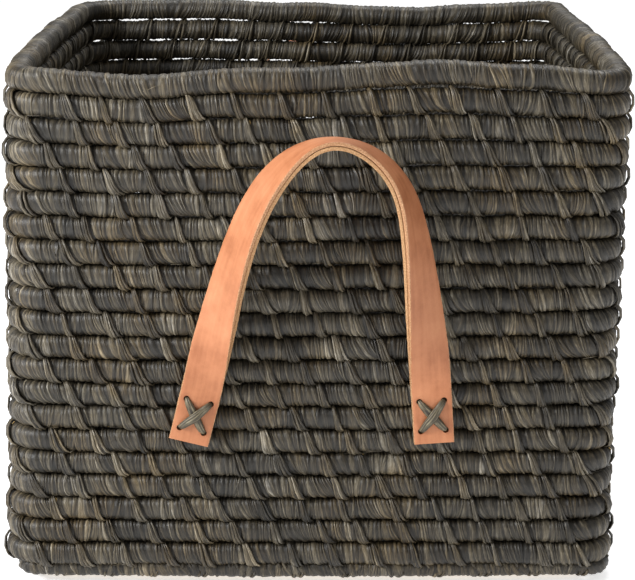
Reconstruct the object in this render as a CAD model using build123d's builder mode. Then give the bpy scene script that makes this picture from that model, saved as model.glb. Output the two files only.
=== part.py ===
"""A square storage bin of coiled raffia with two laced leather strap handles.

The bin is one long coil: a core bundle of palm fibre wrapped in dyed raffia. It lies flat in square turns
to make the base, steps out and up over the edge of the base, and stacks turn on turn to make the walls.
Each turn is modelled as a closed ring, and neighbouring turns press flat on each other. The stitches that
bind them are small and many, and are left to the visual model.

Millimetres, +Z up, +Y to the back. The origin is the middle of the bin, on the surface that it stands on.
"""

import math
import os

from build123d import *

os.makedirs("parts", exist_ok=True)

# ---------------------------------------------------------------- driving sizes: the coil
bin_width = 350.0  # outside, left to right, over the belly of the side walls
bin_depth = 350.0  # outside, front to back, without the handles
wall_turns = 21  # turns of coil stacked up the wall, rim included

coil_diameter = 14.2  # wrapped coil, before its neighbours press on it
press_depth = 0.4  # how far each side of a coil is flattened where two turns press together
foot_flat = 0.4  # how far the coils of the base are flattened where they stand
wrap_thickness = 1.1  # raffia wound round the core
wrap_clearance = 0.3  # slack between the wrap and its core

corner_radii = {"front_left": 15.0, "front_right": 14.0, "back_right": 18.0, "back_left": 36.0}
tightest_bend = 8.4  # smallest radius that the middle of the coil takes, in the corners of the base
bow_foot = 2.5  # how far the walls bow outwards from straight, at the foot,
bow_middle = 7.0  # at half height
bow_rim = 4.5  # and at the rim
shoulder_inset = 8.3  # how far the outermost base turn lies inside the first wall turn
shoulder_gap = 0.1  # between those two turns, which meet on a slant
centre_gap = 0.1  # round the middle piece of the base
centre_round = 5.0  # on its edges

# ---------------------------------------------------------------- driving sizes: the handles
strap_width = 22.0
ply_thickness = 1.9  # the strap is two plies of leather
glue_line = 0.2  # between them
seat_gap = 0.3  # between the strap and the crests of the coils behind it
flex_gap = 0.3  # between a laced end and the loop, where the strap flexes
end_corner_radius = 1.5
end_below_lacing = 15.8  # from the middle of the lacing down to the cut end of the strap
lace_turn = 7  # the lacing is centred near this wall turn,
lace_rise = 5.0  # this much above the middle of it
flex_turn = 8  # the strap flexes over the groove above this wall turn
left_end_spread = 64.7  # from the middle of the bin to the middle of the left lacing
right_end_spread = 65.4
left_end_lean = 14.0  # degrees, leaning inwards as it goes up
right_end_lean = 4.0
loop_rise = 140.4  # from the flex line up to the crown of the loop
loop_reach = 30.0  # how far the crown stands out from the laced ends
loop_root = 6.0  # straight run of the loop below the flex line, before it is cut

hole_pitch_across = 13.5
hole_pitch_along = 17.0
lace_diameter = 2.4
hole_clearance = 0.25  # round the lace, in the leather and in the slot parted in the raffia
least_cut = 0.2  # a lace that would graze a turn by less than this is taken to miss it
lace_clearance = 0.15
lace_bend = 1.5  # radius of the lace where it turns through the leather
lace_tail = 2.0  # how far the lace sticks out past its knot
knot_length = 5.0
knot_diameter = 5.0
knot_edge = 1.2

# ---------------------------------------------------------------- worked out
coil_radius = coil_diameter / 2
turn_pitch = coil_diameter - 2 * press_depth
press_height = coil_radius - press_depth
channel_radius = coil_radius - wrap_thickness
core_radius = channel_radius - wrap_clearance
base_height = coil_radius - foot_flat  # middle of the base turns
shoulder_rise = math.sqrt((coil_diameter + shoulder_gap) ** 2 - shoulder_inset**2)
first_wall_height = base_height + shoulder_rise
rim_top = first_wall_height + (wall_turns - 1) * turn_pitch + coil_radius
corner_x = bin_width / 2 - coil_radius - bow_middle
corner_y = bin_depth / 2 - coil_radius - bow_middle
base_room = min(corner_x, corner_y) - shoulder_inset - tightest_bend
base_turns = math.floor(base_room / turn_pitch) + 1
strap_thickness = 2 * ply_thickness + glue_line
lace_radius = lace_diameter / 2
hole_radius = lace_radius + hole_clearance


def wall_height(turn):
    """Height of the middle of a wall turn, counted from 1."""
    return first_wall_height + (turn - 1) * turn_pitch


def bow_at(height):
    """How far the walls bow outwards at a height: a parabola through foot, middle and rim."""
    u = height / rim_top
    return bow_foot * (1 - u) * (1 - 2 * u) + bow_middle * 4 * u * (1 - u) + bow_rim * u * (2 * u - 1)


def wall_line(x, height):
    """Distance from the middle of the bin to the middle of the front wall's coil, at x and a height."""
    return corner_y + bow_at(height) * (1 - (x / corner_x) ** 2)


# ---------------------------------------------------------------- the coil
def turn_path(half_x, half_y, bow, inset, height):
    """The line down the middle of one turn: a square with bowed sides and its own radius at each corner."""
    corners = {
        "front_left": (-half_x, -half_y),
        "front_right": (half_x, -half_y),
        "back_right": (half_x, half_y),
        "back_left": (-half_x, half_y),
    }
    names = list(corners)
    with BuildSketch(Plane.XY.offset(height)) as outline:
        with BuildLine():
            for name, following in zip(names, names[1:] + names[:1]):
                SagittaArc(corners[name], corners[following], -bow)
        make_face()
        for name in names:
            corner = outline.vertices().sort_by_distance((*corners[name], height))[0]
            fillet(corner, max(tightest_bend, corner_radii[name] - inset))
    return outline.sketch.face().outer_wire()


def start_plane(path):
    """The plane square to a path at its start, with its x pointing up and its y out of the bin."""
    return Plane(origin=path @ 0, x_dir=(0, 0, 1), z_dir=path % 0)


def make_partings(height, reach):
    """The slots that both handles' laces part in a turn, or None where no lace goes through it.

    Each runs from its lace to the nearest groove, because a lace is pushed in where two turns meet.
    """
    slots = []
    for end in handle_ends.values():
        for x, z in end["holes"]:
            grooves_up = math.floor((z - first_wall_height) / turn_pitch)
            groove = first_wall_height + (grooves_up + 0.5) * turn_pitch
            low = min(groove, z - hole_radius)
            high = max(groove, z + hole_radius)
            if low < height + reach - least_cut and high > height - reach + least_cut:
                slots.append((x, (low + high) / 2, high - low))
    if not slots:
        return None
    with BuildPart() as partings:
        for facing in (-1, 1):
            inside = (0, facing * (corner_y - 2 * coil_diameter), 0)
            with BuildSketch(Plane(origin=inside, x_dir=(-facing, 0, 0), z_dir=(0, facing, 0))):
                for x, middle, slot_height in slots:
                    with Locations((x, middle)):
                        Rectangle(2 * hole_radius, slot_height)
            extrude(amount=4 * coil_diameter)
    return partings.part


def make_wrap(path, height, below, above, side):
    """The raffia sleeve of one turn, flattened at these distances below, above and beside its middle."""
    partings = make_partings(height, coil_radius)
    with BuildPart() as wrap:
        with BuildSketch(start_plane(path)):
            Circle(coil_radius)
            with Locations(((above - below) / 2, 0)):
                Rectangle(above + below, 2 * side, mode=Mode.INTERSECT)
            Circle(channel_radius, mode=Mode.SUBTRACT)
        sweep(path=path)
        if partings:
            add(partings, mode=Mode.SUBTRACT, clean=False)
    return wrap.part


def make_core(path, height):
    """The palm fibre bundle inside one turn."""
    partings = make_partings(height, core_radius)
    with BuildPart() as core:
        with BuildSketch(start_plane(path)):
            Circle(core_radius)
        sweep(path=path)
        if partings:
            add(partings, mode=Mode.SUBTRACT, clean=False)
    return core.part


# ---------------------------------------------------------------- where the handle ends sit
lace_height = wall_height(lace_turn) + lace_rise
flex_height = wall_height(flex_turn) + turn_pitch / 2


def handle_end(x, lean):
    """One laced end: its middle, the directions along and across it, and its holes as (x, z), top pair first."""
    slope = math.radians(lean)
    along = Vector(math.sin(slope), 0, math.cos(slope))
    across = Vector(math.cos(slope), 0, -math.sin(slope))
    middle = Vector(x, 0, lace_height)
    holes = []
    for up in (0.5, -0.5):
        for right in (-0.5, 0.5):
            place = middle + along * (up * hole_pitch_along) + across * (right * hole_pitch_across)
            holes.append((place.X, place.Z))
    flex_x = x + (flex_height - lace_height) * math.tan(slope)
    return {"middle": middle, "along": along, "across": across, "holes": holes, "flex_x": flex_x}


handle_ends = {
    "left": handle_end(-left_end_spread, left_end_lean),
    "right": handle_end(right_end_spread, -right_end_lean),
}

strap_turns = range(lace_turn - 2, flex_turn + 3)
inner_edge = min(left_end_spread, right_end_spread) - strap_width
outer_edge = max(left_end_spread, right_end_spread) + strap_width / 2
seat = max(wall_line(inner_edge, wall_height(turn)) for turn in strap_turns) + coil_radius + seat_gap
inner_crest = min(wall_line(outer_edge, wall_height(turn)) for turn in strap_turns) - coil_radius
plies = {"lining": (0, ply_thickness), "face": (ply_thickness + glue_line, strap_thickness)}


# ---------------------------------------------------------------- leather strap
def make_end_ply(end, span):
    """One ply of a laced end, with its four lace holes, cut level at the flex line."""
    back, front = span
    backing = Plane(origin=(end["middle"].X, -seat, end["middle"].Z), x_dir=end["across"], z_dir=(0, -1, 0))
    above_lacing = flex_height - lace_height + strap_width
    with BuildPart() as ply:
        with BuildSketch(backing.offset(back)) as shape:
            with Locations((0, (above_lacing - end_below_lacing) / 2)):
                Rectangle(strap_width, above_lacing + end_below_lacing)
            fillet(shape.vertices().sort_by(Axis.Z)[:2], end_corner_radius)
            with GridLocations(hole_pitch_across, hole_pitch_along, 2, 2):
                Circle(hole_radius, mode=Mode.SUBTRACT)
        extrude(amount=front - back)
        split(bisect_by=Plane.XY.offset(flex_height - flex_gap / 2), keep=Keep.BOTTOM)
    return ply.part


# The loop at places along it: share of the way from left to right, share of the rise, share of the reach,
# and roll. The roll is 0 where the strap lies flat on the wall and 90 where it lies level.
loop_places = [
    (0.045, 0.170, 0.17, 18),
    (0.103, 0.372, 0.35, 38),
    (0.241, 0.739, 0.77, 55),
    (0.390, 0.925, 0.94, 71),
    (0.569, 1.000, 1.00, 92),
    (0.714, 0.962, 0.96, 86),
    (0.836, 0.850, 0.84, 74),
    (0.913, 0.641, 0.60, 58),
    (0.957, 0.370, 0.34, 38),
    (0.983, 0.170, 0.17, 18),
]


def loop_planes():
    """Planes square to the loop along it, with x across the strap and y into its back."""
    left, right = handle_ends["left"], handle_ends["right"]
    span = right["flex_x"] - left["flex_x"]
    start = Vector(left["flex_x"], 0, flex_height) - left["along"] * loop_root
    finish = Vector(right["flex_x"], 0, flex_height) - right["along"] * loop_root
    points = [start]
    rolls = [0]
    for share_x, share_z, share_out, roll in loop_places:
        points.append(Vector(left["flex_x"] + share_x * span, -share_out * loop_reach, flex_height + share_z * loop_rise))
        rolls.append(roll)
    points.append(finish)
    rolls.append(0)
    middle_line = Spline(*points, tangents=(left["along"], right["along"] * -1))
    places = [middle_line.param_at_point(point) for point in points]
    marks = list(zip(places, rolls))
    root_share = loop_root / middle_line.length
    marks.insert(1, (root_share, 0))
    marks.insert(-1, (1 - root_share, 0))
    planes = []
    for place, roll in marks:
        point = middle_line @ place - Vector(0, seat + strap_thickness / 2, 0)
        tangent = middle_line % place
        outward = Vector(0, -1, 0)
        flat = (outward - tangent * outward.dot(tangent)).normalized()
        side = flat.cross(tangent)
        turn = math.radians(roll)
        normal = flat * math.cos(turn) + side * math.sin(turn)
        planes.append(Plane(origin=point, x_dir=tangent.cross(normal), z_dir=tangent))
    return planes


def make_loop_ply(span):
    """One ply of the free loop, lofted through rectangles that roll with the strap, cut level at its roots."""
    back, front = span
    from_middle = strap_thickness / 2 - (back + front) / 2
    with BuildPart() as ply:
        for plane in loop_planes():
            with BuildSketch(plane):
                with Locations((0, from_middle)):
                    Rectangle(strap_width, front - back)
        loft()
        split(bisect_by=Plane.XY.offset(flex_height + flex_gap / 2), keep=Keep.TOP)
    return ply.part


# ---------------------------------------------------------------- laces and knots
lace_front = seat + strap_thickness + lace_clearance + lace_radius
lace_over = lace_front + lace_diameter + lace_clearance
lace_inside = inner_crest - lace_clearance - lace_radius
knot_inside = inner_crest - lace_clearance
cross_from = 0.35  # the upper leg of the cross is raised over the lower one along this share of its length,
cross_to = 0.65  # to this


def make_lace(end):
    """One lace: out at the top left hole, down the first leg, across inside, out, and up over the first leg."""
    top_left, top_right, bottom_left, bottom_right = end["holes"]
    rise_x = top_right[0] - bottom_left[0]
    rise_z = top_right[1] - bottom_left[1]
    lace_end = knot_inside - knot_length - lace_tail
    with BuildPart() as lace:
        with BuildLine() as route:
            FilletPolyline(
                (top_left[0], -lace_end, top_left[1]),
                (top_left[0], -lace_front, top_left[1]),
                (bottom_right[0], -lace_front, bottom_right[1]),
                (bottom_right[0], -lace_inside, bottom_right[1]),
                (bottom_left[0], -lace_inside, bottom_left[1]),
                (bottom_left[0], -lace_front, bottom_left[1]),
                (bottom_left[0] + cross_from * rise_x, -lace_over, bottom_left[1] + cross_from * rise_z),
                (bottom_left[0] + cross_to * rise_x, -lace_over, bottom_left[1] + cross_to * rise_z),
                (top_right[0], -lace_front, top_right[1]),
                (top_right[0], -lace_end, top_right[1]),
                radius=lace_bend,
            )
        with BuildSketch(Plane(origin=route.line @ 0, z_dir=route.line % 0)):
            Circle(lace_radius)
        sweep(path=route.line)
    return lace.part


def make_knots(end):
    """The two knots that stop a lace inside the wall, each a bead round the lace."""
    with BuildPart() as knots:
        for x, z in end["holes"][:2]:
            with BuildSketch(Plane(origin=(x, -knot_inside, z), z_dir=(0, 1, 0))):
                Circle(knot_diameter / 2)
            extrude(amount=knot_length)
        fillet(knots.edges(), knot_edge)
        for x, z in end["holes"][:2]:
            with BuildSketch(Plane(origin=(x, -knot_inside, z), z_dir=(0, 1, 0))):
                Circle(lace_radius + lace_clearance)
            extrude(amount=knot_length, mode=Mode.SUBTRACT)
    return knots.part


# ---------------------------------------------------------------- building
def save(shape, name):
    """Names a piece and writes it out."""
    shape.label = name
    export_step(shape, f"parts/{name}.step")


wall_core_list = []
for turn in range(1, wall_turns + 1):
    height = wall_height(turn)
    path = turn_path(corner_x, corner_y, bow_at(height), 0, height)
    lower_flat = coil_radius if turn == 1 else press_height
    upper_flat = coil_radius if turn == wall_turns else press_height
    wrap = make_wrap(path, height, lower_flat, upper_flat, coil_radius)
    save(wrap, "rim_coil" if turn == wall_turns else f"wall_coil_{turn:02d}")
    wall_core_list.append(make_core(path, height))

base_core_list = []
for turn in range(1, base_turns + 1):
    inset = shoulder_inset + (turn - 1) * turn_pitch
    bow = bow_at(first_wall_height) * (1 - (turn - 1) / base_turns)
    path = turn_path(corner_x - inset, corner_y - inset, bow, inset, base_height)
    save(make_wrap(path, base_height, base_height, coil_radius, press_height), f"base_coil_{turn:02d}")
    base_core_list.append(make_core(path, base_height))

centre_inset = shoulder_inset + (base_turns - 1) * turn_pitch + press_height + centre_gap
centre_x = corner_x - centre_inset
centre_y = corner_y - centre_inset
with BuildPart() as base_centre:
    Box(2 * centre_x, 2 * centre_y, base_height + coil_radius, align=(Align.CENTER, Align.CENTER, Align.MIN))
    fillet(base_centre.edges().filter_by(Axis.Z), min(centre_round, centre_x / 2, centre_y / 2))
    fillet(base_centre.edges().group_by(Axis.Z)[-1], min(centre_round, centre_x / 2, centre_y / 2) / 2)
save(base_centre.part, "base_centre")

with BuildPart() as wall_cores:
    add(wall_core_list)
save(wall_cores.part, "wall_cores")

with BuildPart() as base_cores:
    add(base_core_list)
save(base_cores.part, "base_cores")

handle_parts = {}
for ply_name, span in plies.items():
    handle_parts[f"handle_loop_{ply_name}"] = make_loop_ply(span)
    for end_name, end in handle_ends.items():
        handle_parts[f"handle_{end_name}_end_{ply_name}"] = make_end_ply(end, span)
for end_name, end in handle_ends.items():
    handle_parts[f"{end_name}_lacing"] = make_lace(end)
    handle_parts[f"{end_name}_knots"] = make_knots(end)

for name, shape in handle_parts.items():
    save(shape, f"front_{name}")
    save(shape.rotate(Axis.Z, 180), f"back_{name}")
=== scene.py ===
# %% [markdown]
# # A square storage bin of coiled raffia
#
# A bundle of palm fibre is wrapped in dyed raffia and laid round and round in a square: flat for the base,
# then turn on turn for the walls. Slanting stitches of raffia bind each turn to the next. Two leather
# straps, laced to the wall with crosses of raffia cord, make the handles.
#
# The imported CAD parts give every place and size. This script gives them the looks: relief, stitches and
# materials. Lengths are worked out in millimetres and turned to metres when a mesh is made.

# %% Load the fixed frame
import math

import bpy
import numpy as np
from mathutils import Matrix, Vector


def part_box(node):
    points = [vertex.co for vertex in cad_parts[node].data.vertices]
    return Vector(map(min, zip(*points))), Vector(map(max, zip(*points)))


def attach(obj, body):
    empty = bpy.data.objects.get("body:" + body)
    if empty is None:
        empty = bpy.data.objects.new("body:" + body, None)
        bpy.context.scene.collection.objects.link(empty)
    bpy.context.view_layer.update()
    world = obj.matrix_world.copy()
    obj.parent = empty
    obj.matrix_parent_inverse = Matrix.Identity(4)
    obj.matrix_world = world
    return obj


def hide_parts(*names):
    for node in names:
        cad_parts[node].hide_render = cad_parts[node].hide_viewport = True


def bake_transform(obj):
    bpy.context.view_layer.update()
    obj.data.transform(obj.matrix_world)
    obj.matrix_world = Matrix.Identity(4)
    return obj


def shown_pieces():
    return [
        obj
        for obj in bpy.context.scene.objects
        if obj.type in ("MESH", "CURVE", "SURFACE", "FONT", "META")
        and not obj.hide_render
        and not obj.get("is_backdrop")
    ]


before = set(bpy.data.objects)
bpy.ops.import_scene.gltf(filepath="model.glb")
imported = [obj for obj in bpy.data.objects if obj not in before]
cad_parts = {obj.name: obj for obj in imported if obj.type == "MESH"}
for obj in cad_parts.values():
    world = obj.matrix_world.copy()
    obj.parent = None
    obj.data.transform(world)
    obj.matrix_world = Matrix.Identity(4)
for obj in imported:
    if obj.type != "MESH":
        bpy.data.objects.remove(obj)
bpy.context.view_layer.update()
MM = 0.001

# %% [markdown]
# ## Reading the turns from the frame
#
# Each turn's height and the width at the belly of its walls are read from its CAD node. A turn is a round
# coil flattened a little where the next one presses on it, so its middle is found from the side that is
# pressed.

# %% Heights and half widths of the turns
coil_radius = 7.1
press_height = 6.7
bow_middle = 7.0
wall_names = [f"wall_coil_{turn:02d}" for turn in range(1, 21)] + ["rim_coil"]
base_names = sorted(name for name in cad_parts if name.startswith("base_coil_"))
turns = len(wall_names)


def box_mm(name):
    """A node's box in millimetres, as two arrays."""
    low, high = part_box(name)
    return np.array(low) / MM, np.array(high) / MM


def turn_height(name):
    """The height of the middle of a wall turn."""
    low, high = box_mm(name)
    if name == wall_names[0]:
        return high[2] - press_height
    return low[2] + press_height


heights = [turn_height(name) for name in wall_names]
bellies = [(box_mm(name)[1][0] - box_mm(name)[0][0]) / 2 - coil_radius for name in wall_names]
corner_half = max(bellies) - bow_middle
pitch = heights[1] - heights[0]
rim_top = heights[-1] + coil_radius
print("turns:", turns, "pitch:", round(pitch, 2), "half width at the corners:", round(corner_half, 1))

# %% [markdown]
# ## The line of a turn
#
# Seen from above, a turn is four shallow arcs joined by round corners. Each corner's circle touches both
# arcs, so its middle lies where two circles cross. Walking the eight arcs gives points, and the way out of
# the bin at each. Real turns are never quite true, so slow waves move the line a little in and out, and up
# and down.


# %% Arcs, corners and waves
def circles_meet(centre_a, radius_a, centre_b, radius_b, near):
    """The crossing of two circles that is nearer to a point."""
    gap = centre_b - centre_a
    distance = np.hypot(*gap)
    along = (radius_a**2 - radius_b**2 + distance**2) / (2 * distance)
    side = math.sqrt(max(radius_a**2 - along**2, 0))
    foot = centre_a + gap / distance * along
    across = np.array([-gap[1], gap[0]]) / distance * side
    return min((foot + across, foot - across), key=lambda p: np.hypot(*(p - near)))


def square_line(half, bows, radii, step=0.6):
    """Arrays s, x, y and out angle of a square of bowed sides, starting at the front, or front left."""
    out = np.array([[0, -1], [1, 0], [0, 1], [-1, 0]], float)
    sides = []
    for i in range(4):
        radius = (half**2 + bows[i] ** 2) / (2 * bows[i])
        sides.append((out[i] * (half + bows[i] - radius), radius))
    corners = []
    for i in range(4):
        (a, ra), (b, rb) = sides[i - 1], sides[i]
        corner = np.array([(-half, -half), (half, -half), (half, half), (-half, half)][i], float)
        r = radii[i]
        corners.append((circles_meet(a, ra - r, b, rb - r, corner), r))
    arcs = []
    for i in range(4):
        (middle, radius), (before, r0), (after, r1) = sides[i], corners[i], corners[(i + 1) % 4]
        following = sides[(i + 1) % 4][0]
        start, end, turn_end = (
            math.atan2(*way[::-1]) for way in (before - middle, after - middle, after - following)
        )
        arcs.append((middle, radius, start, start + (end - start) % math.tau))
        arcs.append((after, r1, end, end + (turn_end - end) % math.tau))
    xs, ys, angles, lengths = [], [], [], []
    total, turned = 0.0, arcs[0][2]
    for middle, radius, start, end in arcs:
        count = max(2, round(radius * (end - start) / step))
        share = np.arange(count) / count
        angle = start + (end - start) * share
        xs.append(middle[0] + radius * np.cos(angle))
        ys.append(middle[1] + radius * np.sin(angle))
        angles.append(turned + (end - start) * share)
        lengths.append(total + radius * (end - start) * share)
        total += radius * (end - start)
        turned += end - start
    return {
        "length": total,
        "s": np.append(np.concatenate(lengths), total),
        "x": np.append(np.concatenate(xs), xs[0][0]),
        "y": np.append(np.concatenate(ys), ys[0][0]),
        "angle": np.append(np.concatenate(angles), turned),
    }


def waves(rng, s, length, size, slowest, fastest, count=6):
    """A smooth random wave round a closed line: sines with a whole number of waves in the round."""
    total = np.zeros_like(s)
    for _ in range(count):
        times = rng.integers(slowest, fastest + 1)
        total += np.sin(s / length * math.tau * times + rng.uniform(0, math.tau))
    return total * size / math.sqrt(count / 2)


# %% [markdown]
# ## How this bin has settled
#
# A soft bin leans and sags. Its foot has slid a few millimetres to the left of its rim, the side walls
# belly out unequally, and the rim dips left of the middle of the front, rises right of it and dips in the
# middle of the back. The sag of the rim dies out over the next few turns down. The outer turns of the base
# have spread outwards under the wall, which rounds the foot. They have spread past their cores, which stay
# in their places.

# %% Lean, belly and sag
corner_radii = {"front_left": 15.0, "front_right": 14.0, "back_right": 18.0, "back_left": 36.0}
lean = 3.0
sag_turns = 3.2
corner_spread = 1.0
foot_spread = 3.4
foot_turns = 3.5
base_spread = 10.0
base_spread_turns = 1.6
base_lifts = (2.2, 0.8, 0.0)
wall_depth, fade = 120, 30


def bump(x, middle, width):
    return np.exp(-(((x - middle) / width) ** 2))


def rim_sag(x, y):
    """How far the rim is lifted from level, in mm."""
    front = -4.2 * bump(x, -95, 38) + 4.0 * bump(x, 66, 42) - 1.6 * bump(x, 158, 22)
    back = 2.4 - 4.8 * bump(x, 72, 62) - 1.6 * bump(x, -5, 50)
    on_front, on_back = (np.clip((way - wall_depth) / fade, 0, 1) for way in (-y, y))
    return front * on_front + back * on_back


def wall_line(turn):
    """The line of wall turn 0 to 20 with its height at each point."""
    rng = np.random.default_rng(100 + turn)
    share = heights[turn] / rim_top
    corner_here = corner_half + corner_spread + foot_spread * math.exp(-turn / foot_turns)
    bow = max(0.6, bellies[turn] - corner_here)
    bows = (bow, bow * (1.0 - 0.1 * share), bow, bow * (1.0 + 0.25 * share))
    line = square_line(corner_here, bows, list(corner_radii.values()))
    s, length = line["s"], line["length"]
    sway = waves(rng, s, length, 0.28, 5, 26)
    line["x"] = line["x"] + sway * np.cos(line["angle"]) + lean * (2 * share - 1)
    line["y"] = line["y"] + sway * np.sin(line["angle"])
    rise = rim_sag(line["x"], line["y"]) * math.exp(-(turns - 1 - turn) / sag_turns)
    line["z"] = heights[turn] + rise + waves(rng, s, length, 0.22, 6, 30)
    for key in ("x", "y", "z"):
        line[key][-1] = line[key][0]
    return line


def base_line(index):
    """The line of one base turn, counted from the outside."""
    low, high = box_mm(base_names[index])
    spread = base_spread * math.exp(-index / base_spread_turns)
    half = (high[0] - low[0]) / 2 - press_height + spread
    bow = max(0.3, (bellies[0] - corner_half) * (1 - index / len(base_names)))
    inset = corner_half - (half - bow) + spread
    radii = [max(7.6, r - inset) for r in corner_radii.values()]
    line = square_line(half - bow, (bow,) * 4, radii)
    line["z"] = np.full_like(line["x"], press_height) + base_lifts[min(index, 2)]
    return line


def at(line, s):
    """Points on a line, and the way out of the bin there, at lengths along it."""
    s = np.mod(s, line["length"])
    x, y, z, angle = (np.interp(s, line["s"], line[key]) for key in ("x", "y", "z", "angle"))
    zero = np.zeros_like(x)
    return np.stack([x, y, z], -1), np.stack([np.cos(angle), np.sin(angle), zero], -1)


wall_lines = [wall_line(turn) for turn in range(turns)]
base_lines = [base_line(index) for index in range(len(base_names))]
print("a wall turn is", round(wall_lines[10]["length"]), "mm round")

# %% [markdown]
# ## Small tools for meshes and materials
#
# Everything is deselected before a primitive is added, because loading the frame leaves its nodes selected.
# A tube starts as a flat grid. Its points are then moved to their places on the coil, and the two pairs of
# opposite edges are merged, which closes the grid into a ring with no seam.


# %% Mesh tools
def deselect():
    if bpy.context.mode != "OBJECT":
        bpy.ops.object.mode_set(mode="OBJECT")
    bpy.ops.object.select_all(action="DESELECT")


def pick(*objects):
    """Selects only these objects and makes the first one active."""
    deselect()
    for obj in objects:
        obj.select_set(True)
    bpy.context.view_layer.objects.active = objects[0]


def join(objects):
    pick(*objects)
    bpy.ops.object.join()
    return bpy.context.object


def edit(obj, *steps):
    """Runs edit-mode steps on all of one object's mesh."""
    pick(obj)
    bpy.ops.object.mode_set(mode="EDIT")
    bpy.ops.mesh.select_all(action="SELECT")
    for step in steps:
        step()
    bpy.ops.object.mode_set(mode="OBJECT")


def merge():
    bpy.ops.mesh.remove_doubles(threshold=2e-6)


def outward():
    bpy.ops.mesh.normals_make_consistent(inside=False)


def close_ends():
    bpy.ops.mesh.fill_holes(sides=0)


def smooth(obj):
    obj.data.shade_smooth()


def move_points(obj, points):
    obj.data.vertices.foreach_set("co", (points * MM).astype(np.float32).ravel())


def write_uv(obj, uv):
    """Writes the UV map from one place a point."""
    corners = np.zeros(len(obj.data.loops), np.int32)
    obj.data.loops.foreach_get("vertex_index", corners)
    obj.data.uv_layers[0].data.foreach_set("uv", uv[corners].astype(np.float32).ravel())


def unit(ways):
    return ways / np.linalg.norm(ways, axis=1)[:, None]


def length_along(points):
    """The length from the first point to each point of a line."""
    return np.concatenate([[0], np.cumsum(np.linalg.norm(np.diff(points, axis=0), axis=1))])


def grid_tube(name, points, uv):
    """A closed tube from points[ring, column] in mm, whose last ring and column repeat the first."""
    rings, columns = points.shape[0] - 1, points.shape[1] - 1
    deselect()
    bpy.ops.mesh.primitive_grid_add(x_subdivisions=columns, y_subdivisions=rings, size=1)
    obj = bpy.context.object
    obj.name = obj.data.name = name
    move_points(obj, points)
    write_uv(obj, uv.reshape(-1, 2))
    return obj


def attribute(obj, name, values, domain):
    layer = obj.data.attributes.new(name, "FLOAT", domain)
    layer.data.foreach_set("value", np.asarray(values, np.float32).ravel())


def linear(code):
    """An sRGB hex colour as linear red, green, blue and alpha."""
    parts = [int(code[i : i + 2], 16) / 255 for i in (1, 3, 5)]
    return (*[c / 12.92 if c <= 0.04045 else ((c + 0.055) / 1.055) ** 2.4 for c in parts], 1.0)


def new_material(name):
    material = bpy.data.materials.new(name)
    material.use_nodes = True
    tree = material.node_tree
    return material, tree, tree.nodes["Principled BSDF"]


def add(tree, kind, inputs=None, stops=(), **settings):
    """Adds a node, sets it up, and fills its inputs with values or links them to other sockets."""
    made = tree.nodes.new(kind)
    for key, value in settings.items():
        setattr(made, key, value)
    if stops:
        band = made.color_ramp.elements
        band[0].position, band[-1].position = stops[0][0], stops[-1][0]
        for place, _ in stops[1:-1]:
            band.new(place)
        for element, (_, code) in zip(band, stops):
            element.color = linear(code)
    for key, value in (inputs or {}).items():
        if isinstance(value, bpy.types.NodeSocket):
            tree.links.new(value, made.inputs[key])
        else:
            made.inputs[key].default_value = value
    return made
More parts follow.
